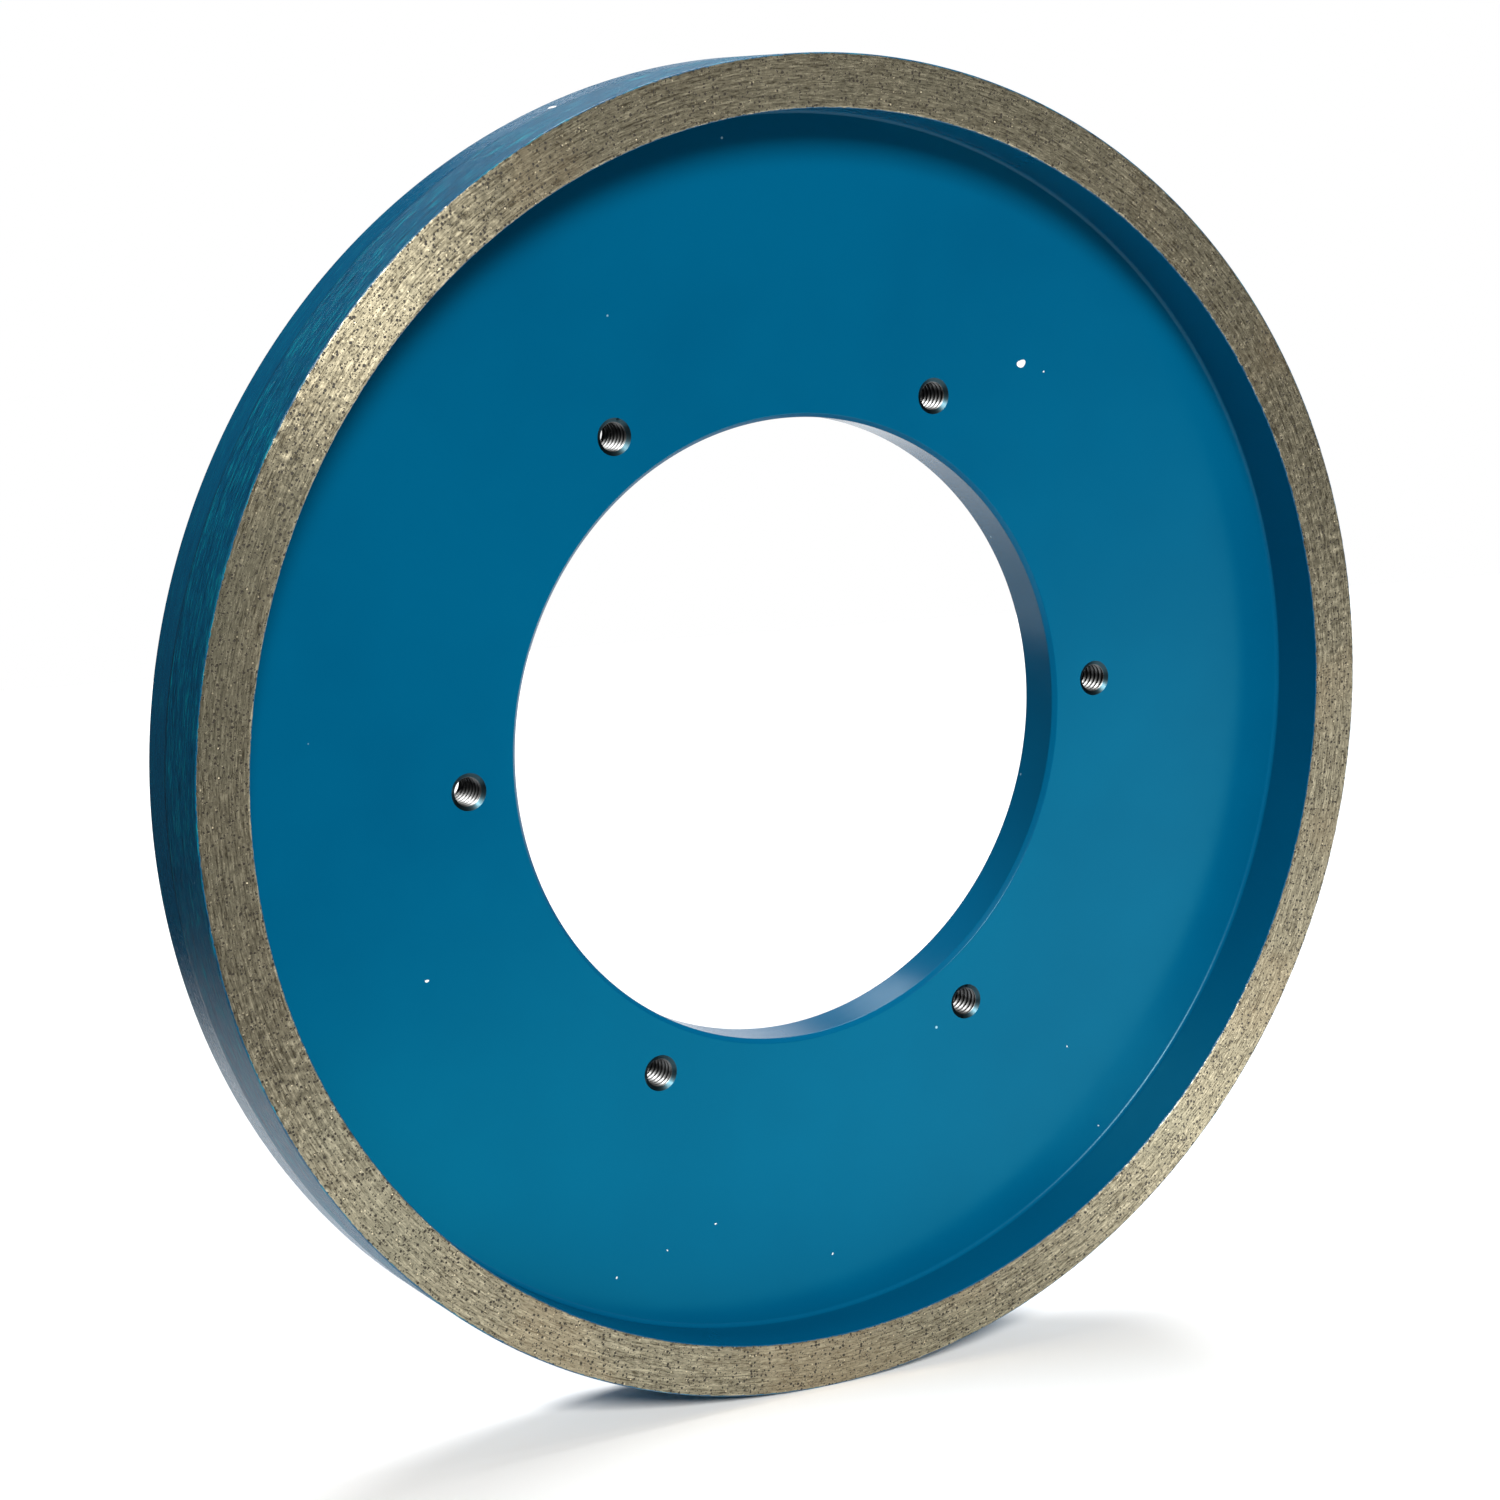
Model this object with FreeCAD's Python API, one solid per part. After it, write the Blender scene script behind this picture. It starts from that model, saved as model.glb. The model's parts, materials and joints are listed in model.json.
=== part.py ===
import FreeCAD, Part
import math
import os

# Cup-shaped diamond grinding wheel, millimetres.
# The wheel stands upright: its axis lies along Y, the working face looks towards -Y and
# +Z is up.  The origin is the centre of the wheel, halfway through its thickness.

# Whole wheel
wheel_radius = 127.0
wheel_thickness = 22.5
front_y = -wheel_thickness / 2
back_y = wheel_thickness / 2

# Steel body: a flat turned plate with a locating step around its rim
web_thickness = 10.0
web_front_y = back_y - web_thickness
back_edge_chamfer = 0.8
bore_radius = 60.0
bore_front_chamfer = 0.8
bore_back_chamfer = 0.5
step_depth = 1.5
seat_y = web_front_y + step_depth

# Six tapped through holes, M8 x 1.25, cut here as plain holes at their 6.8 mm tapping size.
# Angles run from +X towards +Z.
hole_count = 6
hole_circle_radius = 70.0
hole_radius = 3.4
hole_chamfer = 0.4
first_hole_angle = 4.3

# Sintered ring: a diamond layer on a diamond-free backing layer
ring_width = 10.0
ring_inner_radius = wheel_radius - ring_width
ring_edge_chamfer = 0.3
backing_thickness = 1.9

# Brazed joint between the ring and the body
braze_film = 0.2
braze_fillet_radius = 0.8
braze_fillet_steps = 6
backing_back_y = seat_y - braze_film
backing_front_y = backing_back_y - backing_thickness
step_radius = ring_inner_radius - braze_film


def line(start, end):
    return Part.makeLine(FreeCAD.Vector(start[0], start[1], 0), FreeCAD.Vector(end[0], end[1], 0))


def turned(points):
    """Solid of revolution about the wheel axis from a closed (radius, y) outline."""
    edges = []
    for index in range(len(points)):
        edges.append(line(points[index], points[(index + 1) % len(points)]))
    face = Part.Face(Part.Wire(edges))
    return face.revolve(FreeCAD.Vector(0, 0, 0), FreeCAD.Vector(0, 1, 0), 360)


def hole_centre(number):
    angle = math.radians(first_hole_angle + number * 360 / hole_count)
    return hole_circle_radius * math.cos(angle), hole_circle_radius * math.sin(angle)


def tapped_hole(number):
    """Cutter for one through hole with a small countersink at each mouth."""
    x, z = hole_centre(number)
    axis = FreeCAD.Vector(0, 1, 0)
    start = FreeCAD.Vector(x, web_front_y - 1, z)
    cutter = Part.makeCylinder(hole_radius, web_thickness + 2, start, axis)
    mouth_radius = hole_radius + hole_chamfer
    front_start = FreeCAD.Vector(x, web_front_y, z)
    front = Part.makeCone(mouth_radius, hole_radius, hole_chamfer, front_start, axis)
    back_start = FreeCAD.Vector(x, back_y - hole_chamfer, z)
    back = Part.makeCone(hole_radius, mouth_radius, hole_chamfer, back_start, axis)
    return cutter.fuse([front, back])


# Steel body: plate, bore, locating step for the ring and the six tapped holes
body_outline = [
    (bore_radius + bore_front_chamfer, web_front_y),
    (step_radius, web_front_y),
    (step_radius, seat_y),
    (wheel_radius, seat_y),
    (wheel_radius, back_y - back_edge_chamfer),
    (wheel_radius - back_edge_chamfer, back_y),
    (bore_radius + bore_back_chamfer, back_y),
    (bore_radius, back_y - bore_back_chamfer),
    (bore_radius, web_front_y + bore_front_chamfer),
]
steel_body = turned(body_outline)
for number in range(hole_count):
    steel_body = steel_body.cut(tapped_hole(number))

# Diamond layer of the ring: its front is the flat face that grinds
working_ring = turned([
    (ring_inner_radius, front_y + ring_edge_chamfer),
    (ring_inner_radius + ring_edge_chamfer, front_y),
    (wheel_radius - ring_edge_chamfer, front_y),
    (wheel_radius, front_y + ring_edge_chamfer),
    (wheel_radius, backing_front_y),
    (ring_inner_radius, backing_front_y),
])

# Diamond-free layer of the ring, which takes the braze
backing_ring = turned([
    (ring_inner_radius, backing_front_y),
    (wheel_radius, backing_front_y),
    (wheel_radius, backing_back_y),
    (ring_inner_radius, backing_back_y),
])

# Braze: a film under the ring and up the step, ending in a hollow fillet inside the cup
fillet_centre_radius = ring_inner_radius - braze_fillet_radius
fillet_centre_y = web_front_y - braze_fillet_radius
braze_outline = [
    (step_radius, web_front_y),
    (step_radius, seat_y),
    (wheel_radius, seat_y),
    (wheel_radius, backing_back_y),
    (ring_inner_radius, backing_back_y),
]
for step in range(braze_fillet_steps + 1):
    angle = math.radians(90 * step / braze_fillet_steps)
    fillet_radius = fillet_centre_radius + braze_fillet_radius * math.cos(angle)
    fillet_y = fillet_centre_y + braze_fillet_radius * math.sin(angle)
    braze_outline.append((fillet_radius, fillet_y))
braze_joint = turned(braze_outline)

parts = {
    "steel_body": steel_body,
    "working_ring": working_ring,
    "backing_ring": backing_ring,
    "braze_joint": braze_joint,
}
os.makedirs("parts", exist_ok=True)
for name, shape in parts.items():
    shape.exportStep("parts/" + name + ".step")
    print(name, "valid", shape.isValid(), "volume", round(shape.Volume, 1), "mm3")
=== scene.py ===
# %% [markdown]
# # A cup-shaped diamond grinding wheel
# The wheel is a turned steel plate with a wide bore and six tapped holes, and a ring of
# bronze-bonded diamond brazed around its rim. Everything here is in metres, and the wheel
# stands upright with its axis along Y and its grinding face towards -Y. Two places closer
# together than NEAR count as the same place.
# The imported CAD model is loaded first, and every size below is read from it.

# %% Load the frame
import json
import math

import bmesh
import bpy
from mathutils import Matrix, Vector

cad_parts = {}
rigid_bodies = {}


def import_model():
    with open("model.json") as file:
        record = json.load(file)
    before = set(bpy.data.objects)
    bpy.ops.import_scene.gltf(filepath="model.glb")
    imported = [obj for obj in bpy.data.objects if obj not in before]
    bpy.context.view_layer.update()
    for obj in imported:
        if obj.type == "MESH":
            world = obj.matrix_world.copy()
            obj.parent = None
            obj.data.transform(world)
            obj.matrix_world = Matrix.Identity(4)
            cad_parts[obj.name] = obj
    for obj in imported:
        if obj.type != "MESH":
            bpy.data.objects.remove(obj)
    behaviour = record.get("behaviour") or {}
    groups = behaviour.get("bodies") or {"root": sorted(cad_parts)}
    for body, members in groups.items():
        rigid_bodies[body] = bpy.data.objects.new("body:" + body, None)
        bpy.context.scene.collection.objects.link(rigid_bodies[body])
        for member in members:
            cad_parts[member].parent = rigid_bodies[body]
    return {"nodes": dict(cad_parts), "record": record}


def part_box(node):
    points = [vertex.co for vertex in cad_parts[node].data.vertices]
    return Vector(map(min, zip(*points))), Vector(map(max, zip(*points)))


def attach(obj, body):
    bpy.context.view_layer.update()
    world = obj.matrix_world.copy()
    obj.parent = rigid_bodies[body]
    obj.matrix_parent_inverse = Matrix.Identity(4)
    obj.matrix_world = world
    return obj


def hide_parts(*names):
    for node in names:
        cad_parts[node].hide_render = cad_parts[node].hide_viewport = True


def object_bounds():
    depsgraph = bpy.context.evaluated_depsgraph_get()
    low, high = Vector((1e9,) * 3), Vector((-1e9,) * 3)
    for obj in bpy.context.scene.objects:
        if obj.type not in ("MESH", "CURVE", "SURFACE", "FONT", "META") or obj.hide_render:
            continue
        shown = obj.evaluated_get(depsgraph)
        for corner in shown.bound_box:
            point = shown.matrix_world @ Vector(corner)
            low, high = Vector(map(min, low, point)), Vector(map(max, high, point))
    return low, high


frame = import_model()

MM = 0.001
NEAR = 0.02 * MM
cad_low, cad_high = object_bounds()
print("CAD box in mm:", [round((b - a) / MM, 2) for a, b in zip(cad_low, cad_high)])

# %% [markdown]
# ## Reading the wheel's sizes
# A new piece has to land exactly on its CAD solid, so nothing is typed in that the frame
# can tell. Boxes give radii and depths, and the record's mounts give the bore and the
# hole circle. The angle of the first hole is found from the CAD mesh itself: six holes
# repeat every sixth of a turn, so six times the angle is the same for all of them.

# %% Sizes from the frame
body_low, body_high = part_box("steel_body")
ring_low, ring_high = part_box("working_ring")
backing_low, backing_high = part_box("backing_ring")
braze_low, braze_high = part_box("braze_joint")
mounts = {mount["name"]: mount for mount in frame["record"]["mounts"]}

rim_radius = max(body_high.x, ring_high.x)
back_y = body_high.y
web_y = body_low.y
front_y = ring_low.y
seat_y = braze_high.y
bore_radius = mounts["bore"]["dims"]["r_mm"] * MM
hole_radius = mounts["fixing_holes"]["dims"]["hole_r_mm"] * MM
hole_count = mounts["fixing_holes"]["dims"]["count"]
hole_circle = mounts["fixing_holes"]["dims"]["pcd_mm"] * MM / 2


def axis_distance(point):
    """Distance of a point from the wheel's axis."""
    return math.hypot(point.x, point.z)


ring_inner = min(axis_distance(v.co) for v in frame["nodes"]["working_ring"].data.vertices)
ring_inner = round(ring_inner / MM, 1) * MM
near_holes = [
    math.atan2(v.co.z, v.co.x) * hole_count
    for v in frame["nodes"]["steel_body"].data.vertices
    if abs(axis_distance(v.co) - hole_circle) < hole_radius * 1.2
]
first_hole = math.atan2(
    sum(math.sin(turn) for turn in near_holes), sum(math.cos(turn) for turn in near_holes)
) / hole_count
print("ring from", ring_inner / MM, "to", rim_radius / MM, "mm, web at y", web_y / MM)
print("first hole at", round(math.degrees(first_hole), 2), "degrees")

# %% [markdown]
# ## A clean start for every piece
# Operators act on whatever is selected, and the CAD nodes arrive selected. These helpers
# deselect everything, make one piece active, and pick out parts of it by their place.

# %% Helpers for selecting
def start_alone(piece=None):
    """Deselect everything, then select and activate one piece if it is given."""
    if bpy.context.object and bpy.context.object.mode != "OBJECT":
        bpy.ops.object.mode_set(mode="OBJECT")
    bpy.ops.object.select_all(action="DESELECT")
    if piece:
        piece.select_set(True)
        bpy.context.view_layer.objects.active = piece


def pick(piece, kind, test):
    """In edit mode, select only the vertices, edges or faces whose middle passes the test."""
    bpy.ops.mesh.select_mode(type=kind)
    bpy.ops.mesh.select_all(action="DESELECT")
    mesh = bmesh.from_edit_mesh(piece.data)
    parts = {"VERT": mesh.verts, "EDGE": mesh.edges, "FACE": mesh.faces}[kind]
    for part in parts:
        if kind == "VERT":
            middle = part.co
        elif kind == "EDGE":
            middle = (part.verts[0].co + part.verts[1].co) / 2
        else:
            middle = part.calc_center_median()
        if test(middle):
            part.select_set(True)
    bmesh.update_edit_mesh(piece.data)


def apply_modifier(piece, kind, **settings):
    """Add one modifier with its settings and apply it at once."""
    start_alone(piece)
    modifier = piece.modifiers.new(kind.lower(), kind)
    for key, value in settings.items():
        setattr(modifier, key, value)
    bpy.ops.object.modifier_apply(modifier=modifier.name)


# %% [markdown]
# ## Turning on the lathe
# Every part of this wheel is turned, so each begins as a flat section: a plane primitive
# that covers the part from its inner to its outer radius and from front to back. Corners
# are cut or rounded on the flat section, where it is easy, and the section is then spun a
# full turn about the wheel's axis. Rounding one vertex there rounds a whole edge later.

# %% Helpers for sections
MERGE_WITHIN = 0.001 * MM


def flat_section(name, inner, outer, front, back):
    """A flat rectangle in the XY plane: X is the radius and Y runs along the wheel's axis."""
    start_alone()
    bpy.ops.mesh.primitive_plane_add(
        size=1, location=((inner + outer) / 2, (front + back) / 2, 0))
    piece = bpy.context.object
    piece.name = name
    piece.scale = (outer - inner, back - front, 1)
    bpy.ops.object.transform_apply(location=True, rotation=True, scale=True)
    return piece


def round_corner(piece, radius, y, width, steps=1):
    """Chamfer (one step) or round (more steps) the section's corner nearest to a place."""
    start_alone(piece)
    bpy.ops.object.mode_set(mode="EDIT")
    corner = Vector((radius, y, 0))
    pick(piece, "VERT", lambda middle: (middle - corner).length < NEAR)
    bpy.ops.mesh.bevel(offset=width, segments=steps, affect="VERTICES")
    bpy.ops.object.mode_set(mode="OBJECT")


def spin_section(piece, steps):
    """Spin the section's outline a full turn about Y into a closed turned part."""
    start_alone(piece)
    bpy.ops.object.mode_set(mode="EDIT")
    bpy.ops.mesh.select_all(action="SELECT")
    bpy.ops.mesh.delete(type="ONLY_FACE")
    bpy.ops.mesh.select_all(action="SELECT")
    bpy.ops.mesh.spin(steps=steps, angle=math.tau, center=(0, 0, 0), axis=(0, 1, 0))
    bpy.ops.mesh.select_all(action="SELECT")
    bpy.ops.mesh.remove_doubles(threshold=MERGE_WITHIN)
    bpy.ops.mesh.normals_make_consistent(inside=False)
    bpy.ops.object.mode_set(mode="OBJECT")
    print(piece.name, "spun in", steps, "steps")


def smooth_turned(piece, degrees=35):
    """Smooth shading that keeps crisp edges and lets wide flat faces stay flat."""
    start_alone(piece)
    bpy.ops.object.shade_smooth_by_angle(angle=math.radians(degrees))
    apply_modifier(piece, "WEIGHTED_NORMAL", keep_sharp=True, weight=90)
    print(piece.name, len(piece.data.polygons), "faces")


def stand_for(piece, node):
    """The piece takes the place of its CAD node and rides on the wheel."""
    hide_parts(node)
    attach(piece, "root")


# %% [markdown]
# ## The steel body
# On the real wheel this is a steel plate faced and bored on a lathe. A shallow step
# around its rim centres the ring. The section is a rectangle; two bisects mark the step,
# the corner between them is deleted, and the rest is dissolved back into one outline.

# %% Body section
TURN_STEPS = 480
step_radius = min(
    axis_distance(v.co) for v in frame["nodes"]["braze_joint"].data.vertices
    if v.co.y > web_y + 0.1 * MM
)
step_radius = round(step_radius / MM, 1) * MM
body = flat_section("painted_steel_body", bore_radius, rim_radius, web_y, back_y)
bpy.ops.object.mode_set(mode="EDIT")
for place, across in (((step_radius, 0, 0), (1, 0, 0)), ((0, seat_y, 0), (0, 1, 0))):
    bpy.ops.mesh.select_all(action="SELECT")
    bpy.ops.mesh.bisect(plane_co=place, plane_no=across)
pick(body, "FACE", lambda middle: middle.x > step_radius and middle.y < seat_y)
bpy.ops.mesh.delete(type="FACE")
bpy.ops.mesh.select_all(action="SELECT")
bpy.ops.mesh.dissolve_limited(angle_limit=math.radians(1))
bpy.ops.object.mode_set(mode="OBJECT")
print("section corners:", len(body.data.vertices))

# %% [markdown]
# ## The body's edges
# The bore's front edge has a turned chamfer, and the coat of paint softens both of its
# corners. The back edges are only broken. All of them are bevelled on the flat section,
# one vertex each, and the spin then carries them around the whole wheel.

# %% Body edges and spin
BORE_CHAMFER = 0.8 * MM
BACK_CHAMFER = 0.5 * MM
RIM_CHAMFER = 0.8 * MM
PAINT_ROUND = 0.12 * MM
round_corner(body, bore_radius, web_y, BORE_CHAMFER)
round_corner(body, bore_radius + BORE_CHAMFER, web_y, PAINT_ROUND, 2)
round_corner(body, bore_radius, web_y + BORE_CHAMFER, PAINT_ROUND, 2)
round_corner(body, bore_radius, back_y, BACK_CHAMFER, 3)
round_corner(body, rim_radius, back_y, RIM_CHAMFER, 4)
spin_section(body, TURN_STEPS)

# %% [markdown]
# ## Six tapped holes
# The plate is drilled, tapped and then countersunk by hand, so each hole begins with a
# clean cone that ends in a lip, and the thread starts behind it. One cutter is modelled on
# the axis: a cylinder as wide as the thread's root, necked in to the lip at both ends and
# flared out to the mouths, wide in front and barely broken at the back. It is copied around
# the hole circle, each copy with its own mesh, and one boolean cuts all six.

# %% Hole sizes
HOLE_SIDES = 64
MOUTH_RADIUS = hole_radius + 0.1 * MM
MOUTH_DEPTH = 0.55 * MM
LIP_RADIUS = hole_radius - 0.75 * MM
LIP_BACK = 0.3 * MM
BACK_MOUTH_RADIUS = LIP_RADIUS + 0.2 * MM
BACK_MOUTH_DEPTH = 0.2 * MM
CUT_PAST = 1 * MM
print("mouth", 2 * MOUTH_RADIUS / MM, "mm wide, lip", 2 * LIP_RADIUS / MM, "mm wide")

# %% Helpers for bars and for copies around the hole circle
def add_round_bar(name, radius, front, back, sides):
    """A cylinder along Y on the wheel's axis."""
    start_alone()
    bpy.ops.mesh.primitive_cylinder_add(
        vertices=sides, radius=radius, depth=back - front,
        location=(0, (front + back) / 2, 0), rotation=(math.pi / 2, 0, 0))
    piece = bpy.context.object
    piece.name = name
    bpy.ops.object.transform_apply(location=True, rotation=True, scale=True)
    return piece


def draw_end_out(piece, radius, end_y, outwards, steps):
    """Extrude one end of a bar again and again, each time to a new radius."""
    start_alone(piece)
    bpy.ops.object.mode_set(mode="EDIT")
    end = Vector((0, end_y, 0))
    pick(piece, "FACE", lambda middle: (middle - end).length < NEAR)
    for rise, new_radius in steps:
        bpy.ops.mesh.extrude_region_move(
            TRANSFORM_OT_translate={"value": (0, outwards * rise, 0)})
        bpy.ops.transform.resize(value=(new_radius / radius, 1, new_radius / radius))
        radius = new_radius
    bpy.ops.object.mode_set(mode="OBJECT")


def around_holes(template, names):
    """Copies of a piece modelled on the axis, one at each hole, each with its own mesh."""
    copies = []
    for number, name in enumerate(names):
        start_alone(template)
        bpy.ops.object.duplicate(linked=False)
        copy = bpy.context.object
        copy.name = name
        angle = first_hole + number * math.tau / hole_count
        copy.location = (hole_circle * math.cos(angle), 0, hole_circle * math.sin(angle))
        copy.rotation_euler = (0, -angle, 0)
        bpy.ops.object.transform_apply(location=True, rotation=True, scale=True)
        copies.append(copy)
    start_alone(template)
    bpy.ops.object.delete()
    return copies


# %% Cut the six holes
bar_front = web_y + MOUTH_DEPTH + LIP_BACK
bar_back = back_y - BACK_MOUTH_DEPTH - LIP_BACK
cutter = add_round_bar("hole_cutter", hole_radius, bar_front, bar_back, HOLE_SIDES)
draw_end_out(cutter, hole_radius, bar_front, -1, (
    (LIP_BACK, LIP_RADIUS), (MOUTH_DEPTH, MOUTH_RADIUS), (CUT_PAST, MOUTH_RADIUS)))
draw_end_out(cutter, hole_radius, bar_back, 1, (
    (LIP_BACK, LIP_RADIUS), (BACK_MOUTH_DEPTH, BACK_MOUTH_RADIUS),
    (CUT_PAST, BACK_MOUTH_RADIUS)))
cutters = around_holes(cutter, [f"cutter_{n + 1}" for n in range(hole_count)])
start_alone(cutters[0])
for extra in cutters[1:]:
    extra.select_set(True)
bpy.ops.object.join()
all_cutters = bpy.context.object
apply_modifier(body, "BOOLEAN", operation="DIFFERENCE", solver="EXACT", object=all_cutters)
start_alone(all_cutters)
bpy.ops.object.delete()
smooth_turned(body)
stand_for(body, "steel_body")

# %% [markdown]
# ## Real thread ridges
# An M8 thread has a pitch of 1.25 mm and ridges with 60 degree flanks. A ridge's section is
# a small rectangle at the hole's wall whose inner side is squeezed into the crest. The
# Screw modifier winds it along the axis as a right-hand thread. Its first and last turns
# start inside the two lips, so no blunt end shows.

# %% Thread ridge
THREAD_PITCH = 1.25 * MM
RIDGE_BASE = 0.95 * THREAD_PITCH
RIDGE_CREST = 0.22
THREAD_STEPS = 40
WALL_OVERLAP = 0.04 * MM
THREAD_INSET = 0.12 * MM
ridge_start = web_y + MOUTH_DEPTH + THREAD_INSET
ridge_end = back_y - BACK_MOUTH_DEPTH - THREAD_INSET
thread_turns = math.floor((ridge_end - ridge_start) / THREAD_PITCH)
ridge = flat_section("thread_ridge", LIP_RADIUS, hole_radius + WALL_OVERLAP,
                     ridge_start - RIDGE_BASE / 2, ridge_start + RIDGE_BASE / 2)
bpy.ops.object.mode_set(mode="EDIT")
pick(ridge, "VERT", lambda middle: middle.x < LIP_RADIUS + NEAR)
bpy.ops.transform.resize(value=(1, RIDGE_CREST, 1), center_override=(0, ridge_start, 0))
bpy.ops.mesh.select_all(action="SELECT")
bpy.ops.mesh.delete(type="ONLY_FACE")
bpy.ops.object.mode_set(mode="OBJECT")
apply_modifier(
    ridge, "SCREW", axis="Y", angle=math.tau, screw_offset=THREAD_PITCH, iterations=thread_turns,
    steps=THREAD_STEPS, render_steps=THREAD_STEPS, use_merge_vertices=False)
bpy.ops.object.mode_set(mode="EDIT")
bpy.ops.mesh.select_all(action="SELECT")
bpy.ops.mesh.fill_holes(sides=4)
bpy.ops.mesh.normals_make_consistent(inside=False)
bpy.ops.object.mode_set(mode="OBJECT")
bpy.ops.object.shade_smooth_by_angle(angle=math.radians(25))
threads = around_holes(ridge, [f"thread_ridges_{n + 1}" for n in range(hole_count)])
for thread in threads:
    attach(thread, "root")
print(thread_turns, "turns,", len(threads[0].data.polygons), "faces in each thread")

# %% [markdown]
# ## The diamond layer
# This ring is bronze powder and diamond grit pressed and sintered, then ground flat. The
# section's front edge is divided finely before the spin, so that the face has enough
# points to be pushed in by a fine noise: real pits and torn grains, up to a tenth of a
# millimetre deep. Only the front and its two edges move, and only inwards.

# %% Diamond ring
RING_STEPS = 1440
FACE_DIVISIONS = 19
FACE_PITS = 0.1 * MM
PIT_SIZE = 0.9 * MM
EDGE_ROUND = 0.3 * MM
ring = flat_section("diamond_ring", ring_inner, rim_radius, front_y, ring_high.y)
round_corner(ring, ring_inner, front_y, EDGE_ROUND, 2)
round_corner(ring, rim_radius, front_y, EDGE_ROUND, 2)
bpy.ops.object.mode_set(mode="EDIT")
pick(ring, "EDGE", lambda middle: abs(middle.y - front_y) < NEAR)
bpy.ops.mesh.subdivide(number_cuts=FACE_DIVISIONS)
bpy.ops.object.mode_set(mode="OBJECT")
spin_section(ring, RING_STEPS)
face_points = ring.vertex_groups.new(name="ground_face")
face_points.add(
    [v.index for v in ring.data.vertices if v.co.y < front_y + EDGE_ROUND * 0.9], 1.0, "REPLACE")
pit_noise = bpy.data.textures.new("pit_noise", "STUCCI")
pit_noise.noise_scale = PIT_SIZE
pit_noise.turbulence = 8
apply_modifier(
    ring, "DISPLACE", texture=pit_noise, texture_coords="LOCAL", direction="NORMAL",
    vertex_group="ground_face", mid_level=1.0, strength=FACE_PITS)
smooth_turned(ring)
stand_for(ring, "working_ring")

# %% [markdown]
# ## The backing layer and the braze
# Behind the diamond layer sits a thin layer without diamond, which takes the braze. Only
# its painted edges show. The braze is a film under the ring that ends in a small hollow
# fillet inside the cup. Its section starts as a rectangle; four bisects mark the step, the
# ring's foot and the web, and the two corners that belong to steel and ring are deleted.

# %% Backing ring
backing = flat_section("backing_band", ring_inner, rim_radius, backing_low.y, backing_high.y)
spin_section(backing, TURN_STEPS)
smooth_turned(backing)
stand_for(backing, "backing_ring")

# %% Braze section
fillet_leg = web_y - braze_low.y
fillet_foot = ring_inner - fillet_leg
braze = flat_section(
    "braze_film_and_fillet", fillet_foot, rim_radius, web_y - fillet_leg, seat_y)
bpy.ops.object.mode_set(mode="EDIT")
cuts = (
    ((step_radius, 0, 0), (1, 0, 0)), ((ring_inner, 0, 0), (1, 0, 0)),
    ((0, web_y, 0), (0, 1, 0)), ((0, backing_high.y, 0), (0, 1, 0)))
for place, across in cuts:
    bpy.ops.mesh.select_all(action="SELECT")
    bpy.ops.mesh.bisect(plane_co=place, plane_no=across)
pick(braze, "FACE", lambda middle: middle.x < step_radius and middle.y > web_y)
bpy.ops.mesh.delete(type="FACE")
pick(braze, "FACE", lambda middle: middle.x > ring_inner and middle.y < backing_high.y)
bpy.ops.mesh.delete(type="FACE")
bpy.ops.mesh.select_all(action="SELECT")
bpy.ops.mesh.dissolve_limited(angle_limit=math.radians(1))
bpy.ops.object.mode_set(mode="OBJECT")
print("braze corners:", len(braze.data.vertices), "leg", round(fillet_leg / MM, 2), "mm")

# %% [markdown]
# ## A hollow fillet
# Molten braze draws itself into a corner with a hollow face. A bevel rounds outwards, so
# its new points are moved to the same distance from the corner that was cut away: the
# round turns into a bite. The bevel stops just short of its neighbours to keep them apart.

# %% Hollow the fillet and spin
FILLET_STEPS = 8
BEVEL_REACH = 0.999
start_alone(braze)
bpy.ops.object.mode_set(mode="EDIT")
corner = Vector((fillet_foot, web_y - fillet_leg, 0))
pick(braze, "VERT", lambda middle: (middle - corner).length < NEAR)
bpy.ops.mesh.bevel(
    offset=fillet_leg * BEVEL_REACH, segments=FILLET_STEPS, affect="VERTICES", profile=0.5)
mesh = bmesh.from_edit_mesh(braze.data)
bite_points = [
    v for v in mesh.verts
    if v.co.x < ring_inner - MERGE_WITHIN and v.co.y < web_y - MERGE_WITHIN
]
for point in bite_points:
    out_x = point.co.x - fillet_foot
    out_y = point.co.y - (web_y - fillet_leg)
    length = math.hypot(out_x, out_y)
    if length > 0:
        point.co.x = fillet_foot + out_x * fillet_leg / length
        point.co.y = web_y - fillet_leg + out_y * fillet_leg / length
bmesh.update_edit_mesh(braze.data)
bpy.ops.object.mode_set(mode="OBJECT")
spin_section(braze, TURN_STEPS)
smooth_turned(braze)
stand_for(braze, "braze_joint")

# %% [markdown]
# ## Shader nodes in words
# A finish is a tree of small nodes. Wiring each one by itself takes many lines, so every
# helper here adds one node, sets or links its sockets and hands back its output. A sum in
# a finish then reads almost as it would on paper.

# %% Helpers for materials and sums
def new_material(name):
    """A material with an empty node tree, its Principled shader and its output."""
    material = bpy.data.materials.new(name)
    material.use_nodes = True
    tree = material.node_tree
    tree.nodes.clear()
    output = tree.nodes.new("ShaderNodeOutputMaterial")
    shader = tree.nodes.new("ShaderNodeBsdfPrincipled")
    tree.links.new(shader.outputs["BSDF"], output.inputs["Surface"])
    return material, tree, shader


def feed(tree, socket, value):
    """Link an output to a socket, or set the socket if the value is a plain number."""
    if isinstance(value, bpy.types.NodeSocket):
        tree.links.new(value, socket)
    else:
        socket.default_value = value


def math_node(tree, operation, first, second=0.0, third=0.0):
    """One Math node."""
    node = tree.nodes.new("ShaderNodeMath")
    node.operation = operation
    for socket, value in zip(node.inputs, (first, second, third)):
        feed(tree, socket, value)
    return node.outputs[0]


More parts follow.
